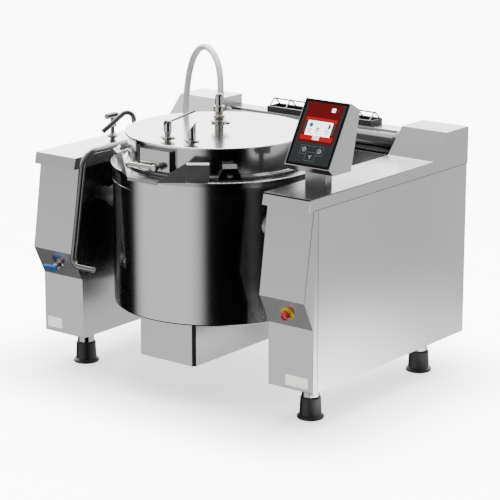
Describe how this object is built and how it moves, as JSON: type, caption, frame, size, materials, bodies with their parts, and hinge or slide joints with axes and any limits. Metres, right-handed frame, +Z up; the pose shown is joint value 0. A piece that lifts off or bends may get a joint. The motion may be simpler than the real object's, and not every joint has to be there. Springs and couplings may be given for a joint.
{
  "type": "tilting skillet",
  "caption": "Floor-standing tilting skillet: a round lidded vessel hung between two cabinet columns, with a pouring lip, control panel, filling tap and rear flue.",
  "frame": {"origin": "on the floor under the middle of the machine's overall box", "axes": "+X to the operator's right, +Y to the rear, +Z up"},
  "size_m": [1.4, 1.237, 1.3691],
  "materials": {
    "panel_steel": "brushed satin",
    "polished_steel": "polished",
    "lid_steel": "mirror polished",
    "pan_steel": "ground",
    "frame_steel": "painted grey",
    "burner_steel": "heat tinted",
    "gear_steel": "machined, oiled",
    "motor_paint": "painted",
    "chrome_fitting": "polished",
    "black_plastic": "matte",
    "screen_glass": "gloss",
    "board_plastic": "matte",
    "white_plate": "bare",
    "red_plastic": "gloss",
    "yellow_plastic": "gloss",
    "blue_plastic": "gloss",
    "black_guard": "black enamel",
    "silicone": "milky",
    "seal_rubber": "matte",
    "mineral_wool": "loose fibres"
  },
  "bodies": {
    "frame": {"right_column_body": "panel_steel", "left_column_body": "panel_steel", "right_side_panel": "panel_steel", "left_side_panel": "panel_steel", "right_worktop": "panel_steel", "left_worktop": "panel_steel", "inner_frames": "frame_steel", "trunnion_bearings": "gear_steel", "tilt_gearmotor": "motor_paint", "rear_bridge": "panel_steel", "lower_crossmember": "panel_steel", "cross_tube": "polished_steel", "flue_tray": "black_guard", "flue_guard": "chrome_fitting", "foot_cups": "black_plastic", "foot_sleeves": "polished_steel", "tap_body": "chrome_fitting", "water_valve_body": "chrome_fitting", "stop_collar": "yellow_plastic", "control_pedestal": "panel_steel", "control_housing": "panel_steel", "control_glass": "screen_glass", "display_module": "board_plastic", "blank_plates": "white_plate"},
    "vessel": {"vessel_jacket": "polished_steel", "cooking_pan": "pan_steel", "pan_insulation": "mineral_wool", "rim_ring": "polished_steel", "pouring_lip": "polished_steel", "burner_chamber": "panel_steel", "burner_tubes": "burner_steel", "burner_rack": "burner_steel", "right_trunnion": "gear_steel", "left_trunnion": "gear_steel", "tilt_sector": "gear_steel", "ring_lugs": "polished_steel", "lug_screws": "chrome_fitting", "hinge_ears": "polished_steel", "hinge_pin": "chrome_fitting", "hose_spigot": "chrome_fitting"},
    "lid": {"lid_drum": "polished_steel", "lid_top_plate": "lid_steel", "lid_seal": "seal_rubber", "lid_arms": "polished_steel", "lid_handle": "chrome_fitting", "latch_housing": "polished_steel", "inlet_base": "chrome_fitting", "inlet_head": "chrome_fitting", "safety_valve": "chrome_fitting", "steam_vent": "chrome_fitting", "fitting_clamps": "chrome_fitting", "steam_hose": "silicone"},
    "tilt_pinion": {"tilt_pinion": "gear_steel"},
    "latch_lever": {"latch_lever": "chrome_fitting"},
    "relief_lever": {"relief_lever": "chrome_fitting"},
    "tap_lever": {"tap_lever": "chrome_fitting"},
    "tap_spout": {"tap_spout": "chrome_fitting"},
    "water_valve_lever": {"water_valve_lever": "blue_plastic"},
    "stop_stem": {"stop_stem": "black_plastic"},
    "stop_head": {"stop_head": "red_plastic"}
  },
  "joints": [
    {"name": "vessel_tilt", "type": "hinge", "parent": "frame", "child": "vessel", "pos_m": [0, -0.299, 0.743], "axis": [1, 0, 0], "range_deg": [0, 85]},
    {"name": "pinion_turn", "type": "hinge", "parent": "frame", "child": "tilt_pinion", "pos_m": [0, -0.299, 0.5555], "axis": [1, 0, 0], "range_deg": [-345, 5]},
    {"name": "lid_hinge", "type": "hinge", "parent": "vessel", "child": "lid", "pos_m": [0, 0.311, 0.96], "axis": [-1, 0, 0], "range_deg": [0, 85], "deforming": ["steam_hose"]},
    {"name": "latch_turn", "type": "hinge", "parent": "lid", "child": "latch_lever", "pos_m": [0.025, -0.571, 0.967], "axis": [0, 1, 0], "range_deg": [0, 90]},
    {"name": "relief_lift", "type": "hinge", "parent": "lid", "child": "relief_lever", "pos_m": [-0.012, -0.447, 1.122], "axis": [1, 0, 0], "range_deg": [0, 35]},
    {"name": "tap_turn", "type": "hinge", "parent": "frame", "child": "tap_lever", "pos_m": [-0.59, -0.122, 1.03], "axis": [0, 1, 0], "range_deg": [0, 90]},
    {"name": "spout_swivel", "type": "hinge", "parent": "frame", "child": "tap_spout", "pos_m": [-0.498, -0.091, 0.945], "axis": [0, 0, -1], "range_deg": [-87, 15]},
    {"name": "water_valve_turn", "type": "hinge", "parent": "frame", "child": "water_valve_lever", "pos_m": [-0.58, -0.47354, 0.464], "axis": [0, -0.8971, -0.4418], "range_deg": [0, 90]},
    {"name": "stop_push", "type": "slide", "parent": "frame", "child": "stop_stem", "axis": [0, 0.8971, 0.4418], "range_m": [0, 0.006], "stiffness_N_per_m": 900},
    {"name": "stop_twist", "type": "hinge", "parent": "stop_stem", "child": "stop_head", "pos_m": [0.6, -0.47354, 0.464], "axis": [0, -0.8971, -0.4418], "range_deg": [0, 30]}
  ],
  "couplings": [
    {"joint": "pinion_turn", "follows": "vessel_tilt", "ratio": -4}
  ]
}
